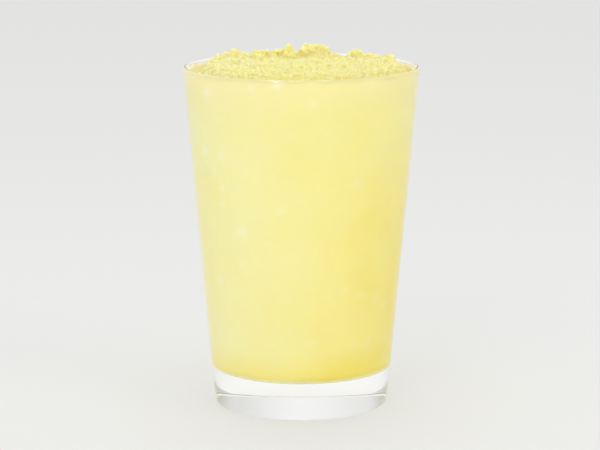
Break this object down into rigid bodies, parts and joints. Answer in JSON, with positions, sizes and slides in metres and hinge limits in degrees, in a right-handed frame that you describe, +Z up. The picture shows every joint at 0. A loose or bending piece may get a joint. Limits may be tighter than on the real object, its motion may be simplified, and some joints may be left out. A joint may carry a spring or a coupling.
{
  "type": "frozen lemonade in a glass tumbler",
  "caption": "Clear tapered tumbler with a thick solid base, filled with pale yellow frozen lemonade that heaps in icy crumbs a little above the lip.",
  "frame": {"origin": "centre of the foot, on the surface the glass stands on", "axes": "+Z up along the glass's axis, -Y towards the side that is shown, +X to its right"},
  "size_m": [0.0894, 0.0894, 0.1359],
  "materials": {
    "clear_glass": "clear, polished",
    "lemon_ice": "wet crushed ice, pale lemon yellow"
  },
  "bodies": {
    "root": {"glass": "clear_glass", "frozen_lemonade": "lemon_ice"}
  },
  "joints": []
}
